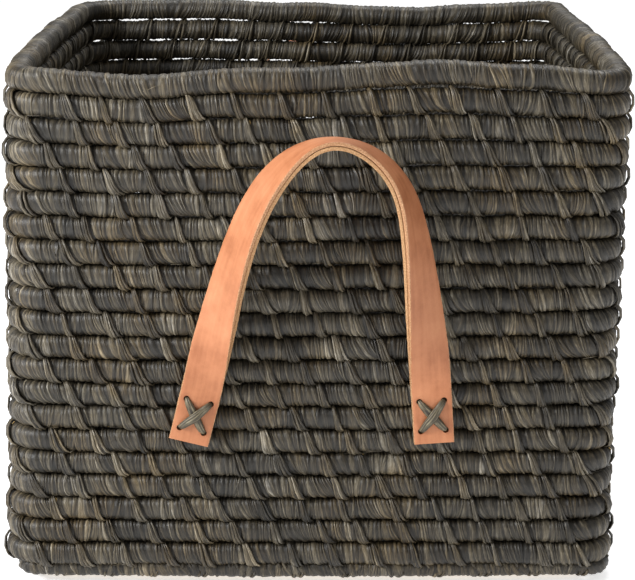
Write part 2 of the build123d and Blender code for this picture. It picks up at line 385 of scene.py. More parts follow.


# %% [markdown]
# ## Dyed raffia
#
# Raffia is the skin of a palm leaf, split into strands 1.5 to 4 mm wide and dyed dark in a vat. The dye
# takes unevenly, so strands run from charcoal to olive and brown, with pale fibres where the skin shows. It
# is matt, with a dull sheen along the fibres. Each strand carries its own tone as an attribute of its
# faces, and another attribute carries painted shade: it darkens the grooves between strands and the wrap
# beside the stitches. Fine streaks run along the strand: noise on the piece's UV map, which is in
# millimetres, squeezed to 0.7 mm across the fibres and drawn out to 8 mm along them.


# %% Raffia material
def raffia(name, stops, bump_height):
    material, tree, shader = new_material(name)
    uv = add(tree, "ShaderNodeUVMap").outputs["UV"]
    place = add(tree, "ShaderNodeTexCoord").outputs["Object"]
    tone = add(tree, "ShaderNodeAttribute", attribute_name="strand_tone").outputs["Fac"]
    # painted shade, read from an attribute: the grooves between strands and the wrap beside the stitches
    gap = add(tree, "ShaderNodeAttribute", attribute_name="painted_shade").outputs["Fac"]
    fibre_place = add(tree, "ShaderNodeMapping", {"Vector": uv, "Scale": (1.5, 0.12, 1.0)})
    streak = add(
        tree,
        "ShaderNodeTexNoise",
        {"Vector": fibre_place.outputs["Vector"], "Scale": 1.0, "Detail": 5.0, "Roughness": 0.72},
    ).outputs["Fac"]
    patch_place = add(tree, "ShaderNodeMapping", {"Vector": uv, "Scale": (0.42, 0.07, 1.0)})
    patch = add(
        tree, "ShaderNodeTexNoise", {"Vector": patch_place.outputs["Vector"], "Scale": 1.0, "Detail": 2.0}
    ).outputs["Fac"]
    dye = add(tree, "ShaderNodeTexNoise", {"Vector": place, "Scale": 34.0, "Detail": 3.0}).outputs["Fac"]
    streaked = add(tree, "ShaderNodeMath", {0: streak, 1: 1.7, 2: tone}, operation="MULTIPLY_ADD")
    patched = add(
        tree, "ShaderNodeMath", {0: patch, 1: 0.45, 2: streaked.outputs["Value"]}, operation="MULTIPLY_ADD"
    )
    centred = add(tree, "ShaderNodeMath", {0: patched.outputs["Value"], 1: -1.12}, operation="ADD")
    colour = add(tree, "ShaderNodeValToRGB", {"Fac": centred.outputs["Value"]}, stops).outputs["Color"]
    tint = add(
        tree, "ShaderNodeValToRGB", {"Fac": dye}, [(0.36, "#EEF3FF"), (0.5, "#FFFFFF"), (0.64, "#FFF3DC")]
    ).outputs["Color"]
    dyed = add(tree, "ShaderNodeMix", {0: 1.0, 6: colour, 7: tint}, data_type="RGBA", blend_type="MULTIPLY")
    # painted shade: the attribute mixes the colour towards near black
    dark = add(
        tree, "ShaderNodeMix", {0: gap, 6: dyed.outputs[2], 7: linear("#0A0805")}, data_type="RGBA"
    ).outputs[2]
    tree.links.new(dark, shader.inputs["Base Color"])
    rough = add(
        tree,
        "ShaderNodeMapRange",
        {"Value": streak, "From Min": 0.3, "From Max": 0.7, "To Min": 0.62, "To Max": 0.36},
    )
    tree.links.new(rough.outputs["Result"], shader.inputs["Roughness"])
    shader.inputs["Specular IOR Level"].default_value = 0.5
    relief = add(tree, "ShaderNodeBump", {"Height": streak, "Strength": 0.7, "Distance": bump_height * MM})
    tree.links.new(relief.outputs["Normal"], shader.inputs["Normal"])
    return material


raffia_stops = [
    (0.0, "#0D0A05"),
    (0.25, "#211C12"),
    (0.5, "#433B2C"),
    (0.68, "#625946"),
    (0.85, "#81796A"),
    (1.0, "#A8A08F"),
]
wall_raffia = raffia("dyed_raffia_wrapped", raffia_stops, 0.45)
stitch_raffia = raffia("dyed_raffia_stitch", raffia_stops, 0.35)

# %% [markdown]
# ## The wrapped turns
#
# Each turn is a tube of strands laid side by side. Three columns of points make a strand: a gap and two
# shoulders, with its own width, height and lift. The strands lean: each one's lower end lies a little
# further round than its upper end. The tube's section is a rounded square, because the turns press on each
# other and the strands bridge the hollow between them.

# %% Where the stitches go
stitch_spacing = 23.5
stitch_step = 8.0
stitch_from, stitch_to = math.radians(100), math.radians(-88)
inner_from, inner_to = math.radians(80), math.radians(268)
stitch_curve = 1.1


def stitch_plan(turn):
    """Start, first reach and spread of each stitch over a wall turn, in mm."""
    rng = np.random.default_rng(700 + turn)
    length = wall_lines[turn]["length"]
    number = round(length / stitch_spacing)
    plan = []
    for j in range(number):
        s0 = j * length / number + stitch_step * (turns - 1 - turn) + rng.normal(0, 1.3)
        first = rng.uniform(4.5, 7.5)
        plan.append((s0 % length, first, first + rng.choice([2.5, 4.5, 6.5], p=[0.2, 0.45, 0.35])))
    return plan


stitch_plans = [stitch_plan(turn) for turn in range(turns - 1)] + [()]
print("stitches on a wall turn:", len(stitch_plans[10]))


# %% Strands round a turn
wall_out, wall_up = 6.6, 6.5
wall_angles = np.radians([-178, -146, -115, -88, -62, -38, -14, 10, 34, 58, 84, 112, 146])
base_angles = np.radians([-180, -150, -118, -86, -55, -24, 8, 40, 70, 98, 126, 153])


def section(angle, power=0.84):
    """Out and up parts of a rounded square of radius 1."""
    out, up = np.cos(angle), np.sin(angle)
    return np.sign(out) * np.abs(out) ** power, np.sign(up) * np.abs(up) ** power


def shade_beside_stitches(stitches, s, angle, length):
    """How much painted shade lies beside the stitches, from 0 to 1, over the outer side of a turn."""
    # painted shade on the wrap along both sides of each stitch, where the stitch shades the turn
    shade = np.zeros_like(s)
    share = np.clip((stitch_from - angle) / (stitch_from - stitch_to), 0, 1)[:, None]
    outer = ((angle < stitch_from + 0.1) & (angle > stitch_to - 0.1))[:, None]
    for s0, first, spread in stitches:
        for reach, side in ((first, -1), (spread, 1)):
            edge = s0 + reach * share**stitch_curve
            away = ((s - edge + length / 2) % length - length / 2) * side
            shade = np.maximum(shade, 0.88 * np.exp(-(((away - 0.8) / 1.2) ** 2)) * outer)
    return shade


def wrapped_turn(name, line, seed, angles, radius_out, radius_up, width, slant, floor=None, stitches=()):
    """One turn of coil, with its strands in relief."""
    rng = np.random.default_rng(seed)
    length = line["length"]
    widths = []
    while sum(widths) < length:
        widths.append(float(np.clip(width * rng.lognormal(-0.08, 0.45), width * 0.4, width * 2.6)))
    widths = np.array(widths) * length / sum(widths)
    starts = np.concatenate([[0], np.cumsum(widths)[:-1]])
    profile = np.array([(0.0, 0.0), (0.3, 1.0), (0.7, 0.94)])
    across = len(profile)
    columns = (starts[:, None] + widths[:, None] * profile[None, :, 0]).ravel()
    height = rng.uniform(0.2, 0.5, len(widths)) * np.clip(widths / width, 0.7, 1.2)
    lift = np.clip(rng.normal(0, 0.2, len(widths)), -0.35, 0.6)
    relief = (lift[:, None] + height[:, None] * profile[None, :, 1]).ravel()
    relief[::across] = np.minimum(lift, np.roll(lift, 1)) - 0.15
    columns = np.append(columns, length)
    relief = np.append(relief, relief[0])
    angle = np.append(angles, angles[0] + math.tau)
    out, up = section(angle)
    lean_here = slant * (1 + waves(rng, columns, length, 0.9, 8, 60))
    wiggle = np.repeat(rng.normal(0, 0.32, len(widths) + 1), across)[: len(columns)] * width
    wiggle[-1] = wiggle[0]
    phase = rng.uniform(0, math.tau)
    shift = -lean_here[None, :] * (np.sin(angle) + 0.22 * np.cos(2 * angle))[:, None]
    shift = shift + wiggle[None, :] * np.sin(2 * angle + phase)[:, None] * 0.6
    s = columns[None, :] + shift
    middle, way_out = at(line, s)
    rough = rng.normal(0, 0.05, s.shape)
    rough[-1], rough[:, -1] = rough[0], rough[:, 0]
    reach = relief[None, :] + rough
    points = middle + way_out * ((radius_out + reach) * out[:, None])[..., None]
    points[..., 2] += (radius_up + reach * 0.7) * up[:, None]
    if floor is not None:
        points[..., 2] = np.maximum(points[..., 2], floor)
    points[-1], points[:, -1] = points[0], points[:, 0]
    around = (angle - angle[0]) * coil_radius
    uv = np.stack(np.broadcast_arrays(columns[None, :], around[:, None]), -1)
    obj = grid_tube(name, points, uv)
    tone = 0.5 + np.clip(rng.normal(0, 0.11, len(widths)), -0.24, 0.3)
    tone += waves(rng, starts, length, 0.06, 4, 40)
    attribute(obj, "strand_tone", np.tile(np.repeat(tone, across), len(angles)), "FACE")
    # painted shade: near black in the grooves between strands, and darker beside the stitches
    gap = np.zeros((len(angle), len(columns)))
    gap[:, ::across] = 0.8
    gap = np.maximum(gap, shade_beside_stitches(stitches, s, angle, length))
    attribute(obj, "painted_shade", gap, "POINT")
    edit(obj, merge)
    smooth(obj)
    return obj


def finish_piece(obj, material, body, slot, *nodes):
    """Gives a piece its material, its body and the nodes that it stands for. The slot is not used."""
    obj.data.materials.clear()
    obj.data.materials.append(material)
    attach(obj, body)
    if nodes:
        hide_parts(*nodes)


triangles = 0
for turn, name in enumerate(wall_names):
    piece = wrapped_turn(
        f"wrapped_turn_{turn + 1:02d}",
        wall_lines[turn],
        300 + turn,
        wall_angles,
        wall_out,
        wall_up,
        2.2,
        1.5,
        stitches=stitch_plans[turn],
    )
    finish_piece(piece, wall_raffia, "bin", "raffia_wrap", name)
    triangles += 2 * len(piece.data.polygons)
print("wall turns:", turns, "pieces,", triangles, "triangles")

base_radii = [(5.2, 4.7), (5.6, 5.9), (6.3, 6.3)]
for index, name in enumerate(base_names):
    piece = wrapped_turn(
        f"wrapped_base_{index + 1:02d}",
        base_lines[index],
        500 + index,
        base_angles,
        *base_radii[min(index, 2)],
        3.2,
        1.0,
        0.05,
    )
    finish_piece(piece, wall_raffia, "bin", "raffia_wrap", name)
    triangles += 2 * len(piece.data.polygons)
print("with the base:", triangles, "triangles")

# %% [markdown]
# ## Binding stitches
#
# A stitch comes out of the groove above a turn as a narrow cord, crosses the turn at a slant and fans out
# into four to six fibres before it goes into the groove below. In the next turn down, the stitch starts a
# little further along, so the stitches climb the wall in slanting chains. One fibre is modelled as a prism
# of five sides, extruded in steps. It is then laid on the turn many times, with its own start, spread and
# height.

# %% One fibre
fibre_steps = 7


def fibre_template(sides=5, steps=fibre_steps):
    """A closed prism one unit long, as points and faces."""
    deselect()
    bpy.ops.mesh.primitive_circle_add(vertices=sides, radius=1, fill_type="NGON")
    obj = bpy.context.object
    bpy.ops.object.mode_set(mode="EDIT")
    bpy.ops.mesh.select_all(action="SELECT")
    for _ in range(steps):
        bpy.ops.mesh.extrude_region_move(TRANSFORM_OT_translate={"value": (0, 0, 1 / steps)})
    bpy.ops.mesh.select_all(action="SELECT")
    outward()
    bpy.ops.object.mode_set(mode="OBJECT")
    points = np.array([v.co for v in obj.data.vertices])
    faces = [list(p.vertices) for p in obj.data.polygons]
    bpy.data.objects.remove(obj)
    return points, faces


fibre_points, fibre_faces = fibre_template()
print("one fibre:", len(fibre_points), "points,", len(fibre_faces), "faces")


def lay_fibres(name, lines_of, tones):
    """One mesh of many fibres. Each item of lines_of gives centres, way out, half widths and half heights."""
    steps = len(lines_of[0][0])
    level = np.rint(fibre_points[:, 2] * (steps - 1)).astype(int)
    across, up = fibre_points[:, 0], fibre_points[:, 1]
    all_points, all_uv = [], []
    run = 0.0
    for centres, normals, half_widths, half_heights in lines_of:
        direction = np.gradient(centres, axis=0)
        direction /= np.linalg.norm(direction, axis=1)[:, None] + 1e-9
        side = np.cross(direction, normals)
        side /= np.linalg.norm(side, axis=1)[:, None] + 1e-9
        lifted = np.cross(side, direction)
        points = (
            centres[level]
            + side[level] * (across * half_widths[level])[:, None]
            + lifted[level] * (up * half_heights[level])[:, None]
        )
        all_points.append(points)
        along = length_along(centres)
        all_uv.append(np.stack([run + across * half_widths[level], along[level]], -1))
        run += 7.3
    count = len(lines_of)
    points = np.concatenate(all_points)
    faces = [[v + i * len(fibre_points) for v in face] for i in range(count) for face in fibre_faces]
    mesh = bpy.data.meshes.new(name)
    mesh.from_pydata((points * MM).tolist(), [], faces)
    obj = bpy.data.objects.new(name, mesh)
    bpy.context.scene.collection.objects.link(obj)
    mesh.uv_layers.new(name="UVMap")
    write_uv(obj, np.concatenate(all_uv))
    attribute(obj, "strand_tone", np.repeat(tones, len(fibre_faces)), "FACE")
    attribute(obj, "painted_shade", np.zeros(len(points)), "POINT")
    smooth(obj)
    return obj


# %% Stitches over a turn
def surface(line, s, angle, radius_out, radius_up, lift):
    """Points on the outside of a turn, and the way out there."""
    middle, way_out = at(line, s)
    out, up = section(angle)
    points = middle + way_out * ((radius_out + lift) * out)[:, None]
    points[:, 2] += (radius_up + lift) * up
    normal = way_out * np.cos(angle)[:, None]
    normal[:, 2] += np.sin(angle)
    return points, normal


def stitch_fibres(line, s0, rng, start, end, radius_out, radius_up, count, spread, first):
    """The fibres of one stitch, laid from one angle of the section to the other."""
    t = np.linspace(0, 1, fibre_steps + 1)
    made = []
    for i in range(count):
        share = i / max(count - 1, 1)
        reach = first + (spread - first) * share + rng.normal(0, 0.3)
        angle = start + (end - start) * t
        s = s0 + rng.normal(0, 0.2) + (share - 0.5) * 0.6 + reach * t**stitch_curve
        s = s + rng.normal(0, 0.35) * np.sin(math.pi * t)
        lift = 0.6 + 1.0 * np.sin(math.pi * t) ** 0.7 + 0.35 * math.sin(math.pi * share) + rng.normal(0, 0.14)
        lift = lift * radius_up / 6.5 - 1.2 * (t < 0.01) - 1.2 * (t > 0.99)
        points, normal = surface(line, s, angle, radius_out, radius_up, lift)
        width = rng.uniform(0.6, 1.0) * (0.36 + 0.72 * np.sin(math.pi * np.clip(t * 0.66 + 0.04, 0, 1)))
        height = rng.uniform(0.45, 0.65) * (0.7 + 0.4 * np.sin(math.pi * t))
        made.append((points, normal, width, height))
    return made


stitch_triangles = 0
slivers = []
for turn in range(turns - 1):
    rng = np.random.default_rng(720 + turn)
    line = wall_lines[turn]
    lines_of, tones = [], []
    for s0, first, spread in stitch_plans[turn]:
        count = 3 + round((spread - first) / 2.2)
        outer = stitch_fibres(line, s0, rng, stitch_from, stitch_to, wall_out, wall_up, count, spread, first)
        inner = stitch_fibres(line, s0, rng, inner_from, inner_to, wall_out, wall_up, 2, 9.0, 5.0)
        lines_of += outer + inner
        shade = rng.normal(0.5, 0.09)
        tones += list(np.clip(shade + rng.normal(0, 0.1, len(outer) + len(inner)), 0, 1))
        if rng.random() < 0.1:
            slivers.append((line, s0 + rng.uniform(0.5, 3.5), rng.uniform(15, 75), rng.uniform(2, 4.5)))
    piece = lay_fibres(f"stitches_{turn + 1:02d}", lines_of, np.array(tones))
    finish_piece(piece, stitch_raffia, "bin", "raffia_wrap")
    stitch_triangles += sum(len(p.vertices) - 2 for p in piece.data.polygons)
print("wall stitches:", stitch_triangles, "triangles")

# %% [markdown]
# ## Stitches in the base
#
# The base is bound the same way, on its upper side and its under side, each stitch reaching outwards over
# one turn. The stitches underneath are pressed flat by the weight of the bin, so they stay above the floor.

# %% Base stitches
top_way = math.radians(178), math.radians(4)
foot_way = math.radians(-176), math.radians(-6)
lines_of, tones = [], []
rng = np.random.default_rng(900)
for index in range(len(base_lines) - 1):
    line = base_lines[index]
    number = max(4, round(line["length"] / 27))
    for j in range(number):
        s0 = j * line["length"] / number + stitch_step * index + rng.normal(0, 1.2)
        first, spread = rng.uniform(2.0, 4.0), rng.uniform(5.5, 8.0)
        out, up = base_radii[min(index, 2)]
        top = stitch_fibres(line, s0, rng, *top_way, out, up, 2, spread, first)
        foot = stitch_fibres(line, s0 + 9, rng, *foot_way, out, up - 0.7, 2, spread, first)
        for points, normal, width, height in top + foot:
            points[:, 2] = np.maximum(points[:, 2], 0.65)
            lines_of.append((points, normal, width, height))
        tones += list(np.clip(rng.normal(0.5, 0.09) + rng.normal(0, 0.06, 4), 0, 1))
base_stitches = lay_fibres("stitches_base", lines_of, np.array(tones))
finish_piece(base_stitches, stitch_raffia, "bin", "raffia_wrap")
print("base stitches:", len(lines_of), "fibres")

# %% [markdown]
# ## The start of the coil
#
# The coil starts as a tight button wound over with raffia. It is a sphere of many segments pressed into a
# rounded square pad, with a dimple in the middle. Each segment is a strand, so the strands run out from the
# middle like the folds of a covered button.

# %% Start of the coil
start_low, start_high = box_mm("base_centre")
deselect()
bpy.ops.mesh.primitive_uv_sphere_add(segments=144, ring_count=28, radius=1)
coil_start = bpy.context.object
coil_start.name = coil_start.data.name = "coil_start"
ball = np.array([v.co for v in coil_start.data.vertices])
rng = np.random.default_rng(41)
around = np.arctan2(ball[:, 1], ball[:, 0])
flat = np.hypot(ball[:, 0], ball[:, 1])
square = 1 / np.maximum(np.abs(np.cos(around)), np.abs(np.sin(around))) ** 0.72
strand = np.rint((around + math.pi) / math.tau * 144).astype(int) % 144
ridge = np.where(strand % 3 == 0, -0.35, 0.25) * flat
half = (start_high - start_low) / 2
reach = flat**0.7 * square * (half[0] - 0.6) + ridge
dimple = 1.6 * np.exp(-((flat / 0.25) ** 2))
thick = half[2] - 0.35
high = np.sign(ball[:, 2]) * (np.abs(ball[:, 2]) ** 0.55 * thick + ridge * 0.5 - dimple)
pad = np.stack([np.cos(around) * reach, np.sin(around) * reach, half[2] + high], -1)
pad[:, 2] = np.clip(pad[:, 2], 0.05, start_high[2])
move_points(coil_start, pad)
attribute(coil_start, "strand_tone", rng.normal(0.48, 0.12, len(coil_start.data.polygons)), "FACE")
# painted shade in the grooves between the button's strands
attribute(coil_start, "painted_shade", np.where(strand % 3 == 0, 0.6, 0.0), "POINT")
write_uv(coil_start, np.stack([around * 11, flat * 12], -1))
smooth(coil_start)
finish_piece(coil_start, wall_raffia, "bin", "raffia_wrap", "base_centre")

# %% [markdown]
# ## Palm fibre cores
#
# The bundles inside the wall show only through chance gaps, as straw-coloured flecks. They are plain tubes
# that follow the settled turns. The cores of the base keep their CAD node, which only gets the material.
# The outer turns of the base have spread past them, so they are bare there and show from below.


# %% Cores
def palm_fibre():
    material, tree, shader = new_material("palm_fibre_bundle")
    place = add(tree, "ShaderNodeTexCoord").outputs["Object"]
    grain = add(tree, "ShaderNodeTexNoise", {"Vector": place, "Scale": 700.0, "Detail": 3.0}).outputs["Fac"]
    straw = [(0.3, "#6E5A35"), (0.55, "#A98C55"), (0.75, "#D2B67C")]
    colour = add(tree, "ShaderNodeValToRGB", {"Fac": grain}, straw).outputs["Color"]
    tree.links.new(colour, shader.inputs["Base Color"])
    shader.inputs["Roughness"].default_value = 0.75
    relief = add(tree, "ShaderNodeBump", {"Height": grain, "Strength": 0.4, "Distance": 0.4 * MM})
    tree.links.new(relief.outputs["Normal"], shader.inputs["Normal"])
    return material


palm_material = palm_fibre()
core_radius = 5.4
core_angles = np.radians(np.arange(0, 361, 60))
core_rings = []
for turn in range(turns):
    line = wall_lines[turn]
    s = np.linspace(0, line["length"], 181)
    middle, way_out = at(line, s)
    ring = middle[None] + way_out[None] * (core_radius * np.cos(core_angles))[:, None, None]
    ring[..., 2] += core_radius * np.sin(core_angles)[:, None]
    ring[:, -1] = ring[:, 0]
    core_rings.append(grid_tube(f"core_{turn}", ring, np.zeros((*ring.shape[:2], 2))))
wall_core = join(core_rings)
wall_core.name = wall_core.data.name = "palm_cores"
edit(wall_core, merge)
smooth(wall_core)
finish_piece(wall_core, palm_material, "bin", "palm_core", "wall_cores")
base_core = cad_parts["base_cores"]
base_core.data.materials.clear()
base_core.data.materials.append(palm_material)
print("cores:", len(wall_core.data.polygons), "faces")

# %% [markdown]
# ## Vegetable-tanned leather
#
# The straps are two plies of tan leather glued flesh to flesh. The grain side is smooth, with faint pores
# half a millimetre across and soft cloudy patches from the tanning. The cut edges are fibrous, mottled from
# brown to pale. The inner ply shows its flesh side, matt and slightly hairy. An attribute says which faces
# are edge or flesh, and a second one carries painted shade, which darkens the leather round the lace holes.


# %% Leather material
def leather(name, light, mid, deep, edge_code, rough_low, rough_high, pore_strength):
    material, tree, shader = new_material(name)
    place = add(tree, "ShaderNodeTexCoord").outputs["Object"]
    uv = add(tree, "ShaderNodeUVMap").outputs["UV"]
    cut = add(tree, "ShaderNodeAttribute", attribute_name="cut_edge").outputs["Fac"]
    painted_hole_shade = add(tree, "ShaderNodeAttribute", attribute_name="painted_hole_shade").outputs["Fac"]
    cloud = add(
        tree, "ShaderNodeTexNoise", {"Vector": place, "Scale": 42.0, "Detail": 5.0, "Roughness": 0.62}
    ).outputs["Fac"]
    streak_place = add(tree, "ShaderNodeMapping", {"Vector": uv, "Scale": (0.03, 0.4, 1.0)}).outputs["Vector"]
    streak = add(
        tree, "ShaderNodeTexNoise", {"Vector": streak_place, "Scale": 1.0, "Detail": 4.0}
    ).outputs["Fac"]
    mixed = add(
        tree, "ShaderNodeMath", {0: streak, 1: 0.35, 2: cloud}, operation="MULTIPLY_ADD"
    ).outputs["Value"]
    moved = add(tree, "ShaderNodeMath", {0: mixed, 1: -0.17}, operation="ADD").outputs["Value"]
    tans = [(0.3, deep), (0.5, mid), (0.72, light)]
    colour = add(tree, "ShaderNodeValToRGB", {"Fac": moved}, tans).outputs["Color"]
    pores = add(
        tree, "ShaderNodeTexVoronoi", {"Vector": place, "Scale": 1900.0, "Randomness": 1.0}, feature="F1"
    ).outputs["Distance"]
    grain = add(
        tree, "ShaderNodeTexNoise", {"Vector": place, "Scale": 900.0, "Detail": 3.0, "Roughness": 0.6}
    ).outputs["Fac"]
    edge_place = add(tree, "ShaderNodeMapping", {"Vector": uv, "Scale": (1.1, 1.3, 1.0)}).outputs["Vector"]
    fibres = add(
        tree, "ShaderNodeTexNoise", {"Vector": edge_place, "Scale": 1.0, "Detail": 5.0, "Roughness": 0.7}
    ).outputs["Fac"]
    cut_browns = [(0.3, "#83552F"), (0.5, edge_code), (0.7, "#CFA67C")]
    edge_colour = add(tree, "ShaderNodeValToRGB", {"Fac": fibres}, cut_browns).outputs["Color"]
    edged = add(tree, "ShaderNodeMix", {0: cut, 6: colour, 7: edge_colour}, data_type="RGBA").outputs[2]
    # painted shade: the leather is mixed towards dark brown round the lace holes
    with_hole_shade = add(tree, "ShaderNodeMix", {0: painted_hole_shade, 6: edged, 7: linear("#8A4F2E")}, data_type="RGBA")
    tree.links.new(with_hole_shade.outputs[2], shader.inputs["Base Color"])
    rough = add(tree, "ShaderNodeMapRange", {"Value": cloud, "To Min": rough_low, "To Max": rough_high})
    tree.links.new(rough.outputs["Result"], shader.inputs["Roughness"])
    shader.inputs["Specular IOR Level"].default_value = 0.4
    fine = add(tree, "ShaderNodeBump", {"Height": pores, "Strength": pore_strength, "Distance": 0.12 * MM})
    broad = add(
        tree,
        "ShaderNodeBump",
        {"Height": grain, "Strength": 0.35, "Distance": 0.25 * MM, "Normal": fine.outputs["Normal"]},
    )
    tree.links.new(broad.outputs["Normal"], shader.inputs["Normal"])
    return material


grain_tans = ("#BF8059", "#B2724C", "#9B5D39", "#A97B56")
flesh_tans = ("#B1835E", "#A07048", "#825633", "#AC845C")
grain_leather = leather("leather_vegetable_tanned_grain", *grain_tans, 0.42, 0.58, 0.25)
flesh_leather = leather("leather_flesh_side", *flesh_tans, 0.7, 0.9, 0.5)

# %% [markdown]
# ## The line of a strap
#
# Each strap is laced flat to the wall at both ends. Above the lacing it lifts off, rolls on to its edge and
# arches over, leaning to the right. A smooth curve is drawn through a few places along it: share of the way
# across, share of the rise, share of the reach, and roll in degrees. The same places shape the CAD strap.

# %% Strap line
strap_width = 22.0
ply_thickness = 2.05
glue_line = 0.3
stand_off = 1.2
end_middles = {"left": (-64.7, 14.0), "right": (65.4, -4.0)}
end_below = 15.8
lace_back = box_mm("front_left_lacing")[1][1]
seat = -box_mm("front_handle_left_end_lining")[1][1]
flex_height = box_mm("front_handle_loop_face")[0][2] - 0.15
left_slope = math.radians(end_middles["left"][1])
end_foot = box_mm("front_handle_left_end_face")[0][2]
lace_height = end_foot + end_below * math.cos(left_slope) + strap_width / 2 * math.sin(left_slope) - 0.4
loop_rise = 140.4
loop_reach = 30.0
loop_places = [
    (0.045, 0.170, 0.17, 18),
    (0.103, 0.372, 0.35, 38),
    (0.241, 0.739, 0.77, 55),
    (0.390, 0.925, 0.94, 71),
    (0.569, 1.000, 1.00, 92),
    (0.714, 0.962, 0.96, 86),
    (0.836, 0.850, 0.84, 74),
    (0.913, 0.641, 0.60, 58),
    (0.957, 0.370, 0.34, 38),
    (0.983, 0.170, 0.17, 18),
]
print("seat", round(seat, 1), "flex line", round(flex_height, 1), "lacing", round(lace_height, 1))


def smooth_curve(points, first_way, last_way, count):
    """A curve with no kinks through points, as count places evenly apart. First and last ways are unit."""
    points = np.asarray(points, float)
    steps = np.linalg.norm(np.diff(points[:, :3], axis=0), axis=1)
    knots = np.concatenate([[0], np.cumsum(steps)])
    rises = np.diff(points, axis=0) / steps[:, None]
    size = len(points)
    matrix, right = np.zeros((size, size)), np.zeros_like(points)
    matrix[0, 0] = matrix[-1, -1] = 1
    right[0], right[-1] = first_way, last_way
    for i in range(1, size - 1):
        matrix[i, i - 1 : i + 2] = steps[i], 2 * (steps[i] + steps[i - 1]), steps[i - 1]
        right[i] = 3 * (steps[i] * rises[i - 1] + steps[i - 1] * rises[i])
    slopes = np.linalg.solve(matrix, right)
    places = np.linspace(0, knots[-1], count)
    index = np.clip(np.searchsorted(knots, places, side="right") - 1, 0, size - 2)
    h = steps[index][:, None]
    t = ((places - knots[index]) / steps[index])[:, None]
    return (
        (2 * t**3 - 3 * t**2 + 1) * points[index]
        + (t**3 - 2 * t**2 + t) * h * slopes[index]
        + (3 * t**2 - 2 * t**3) * points[index + 1]
        + (t**3 - t**2) * h * slopes[index + 1]
    )


def half_turn(side):
    """What to multiply x, y and z by to take a front place to the side asked for."""
    turned = -1.0 if side == "back" else 1.0
    return np.array([turned, turned, 1.0])


def end_frame(side):
    """Middle x, and the ways along and across a laced end in the plane of the wall, as (x, z)."""
    x, degrees = end_middles[side]
    slope = math.radians(degrees)
    return x, np.array([math.sin(slope), math.cos(slope)]), np.array([math.cos(slope), -math.sin(slope)])


def strap_line(count=300):
    """Middle line of the strap as x, distance out from its laced ends, height, and roll."""
    (left_x, left_up, _), (right_x, right_up, _) = end_frame("left"), end_frame("right")
    left_flex = left_x + (flex_height - lace_height) * left_up[0] / left_up[1]
    right_flex = right_x + (flex_height - lace_height) * right_up[0] / right_up[1]
    rows = []
    for below in (end_below, end_below / 2, 0):
        rows.append((left_x - left_up[0] * below, 0, lace_height - left_up[1] * below, 0))
    rows.append((left_flex, 0, flex_height, 0))
    for share_x, share_z, share_out, roll in loop_places:
        rows.append(
            (
                left_flex + share_x * (right_flex - left_flex),
                share_out * loop_reach,
                flex_height + share_z * loop_rise,
                roll,
            )
        )
    rows.append((right_flex, 0, flex_height, 0))
    for below in (0, end_below / 2, end_below):
        rows.append((right_x - right_up[0] * below, 0, lace_height - right_up[1] * below, 0))
    first = (left_up[0], 0, left_up[1], 0)
    last = (-right_up[0], 0, -right_up[1], 0)
    return smooth_curve(rows, first, last, count)


def strap_frames(side):
    """Middle points, and the ways along, across and out of the face, for the front or the back strap."""
    line = strap_line()
    reach = seat + stand_off + ply_thickness + glue_line / 2 + np.maximum(line[:, 1], 0)
    centres = np.stack([line[:, 0], -reach, line[:, 2]], -1)
    along = unit(np.gradient(centres, axis=0))
    forward = np.array([0, -1.0, 0])
    flat_way = unit(forward - along * (along @ forward)[:, None])
    side_way = np.cross(flat_way, along)
    roll = np.radians(np.maximum(line[:, 3], 0))[:, None]
    normal = flat_way * np.cos(roll) + side_way * np.sin(roll)
    across = np.cross(along, normal)
    spin = half_turn(side)
    return centres * spin, along * spin, across * spin, normal * spin


# %% [markdown]
# ## The leather plies
#
# A ply is a flat grid wrapped into a thin rounded bar along the strap's line, closed with a face at each
# end. The lace holes are punched with round cutters and a Boolean. The strap bends in one piece, so it is
# blended between the bin and the handle: it follows the bin below the flex line and the loop a little above
# it.


# %% Plies
cross_height, cross_width = 17.0, 13.5
hole_radius = 1.7


def ply_section(thickness):
    """Across and up places round a ply, from its face over one edge to its back, and which are on an edge."""
    half, thick, round_by = strap_width / 2, thickness / 2, 0.35
    face = np.linspace(half - round_by, -half + round_by, 13)
    upper_edge = [(-half + 0.1, thick - 0.1), (-half, thick - round_by)]
    edge = upper_edge + [(-half, 0)] + [(a, -b) for a, b in reversed(upper_edge)]
    places = [(a, thick) for a in face] + edge + [(-a, -thick) for a in face] + [(-a, -b) for a, b in edge]
    on_edge = [0] * 12 + [1] * 6 + [0] * 12 + [1] * 6
    return np.array(places), np.array(on_edge)


def hole_places():
    """The middles of the eight lace holes of the front strap, as (x, z)."""
    places = []
    for side in ("left", "right"):
        x, up, across = end_frame(side)
        for a, b in ((0.5, -0.5), (0.5, 0.5), (-0.5, -0.5), (-0.5, 0.5)):
            places.append(np.array([x, lace_height]) + up * a * cross_height + across * b * cross_width)
    return places


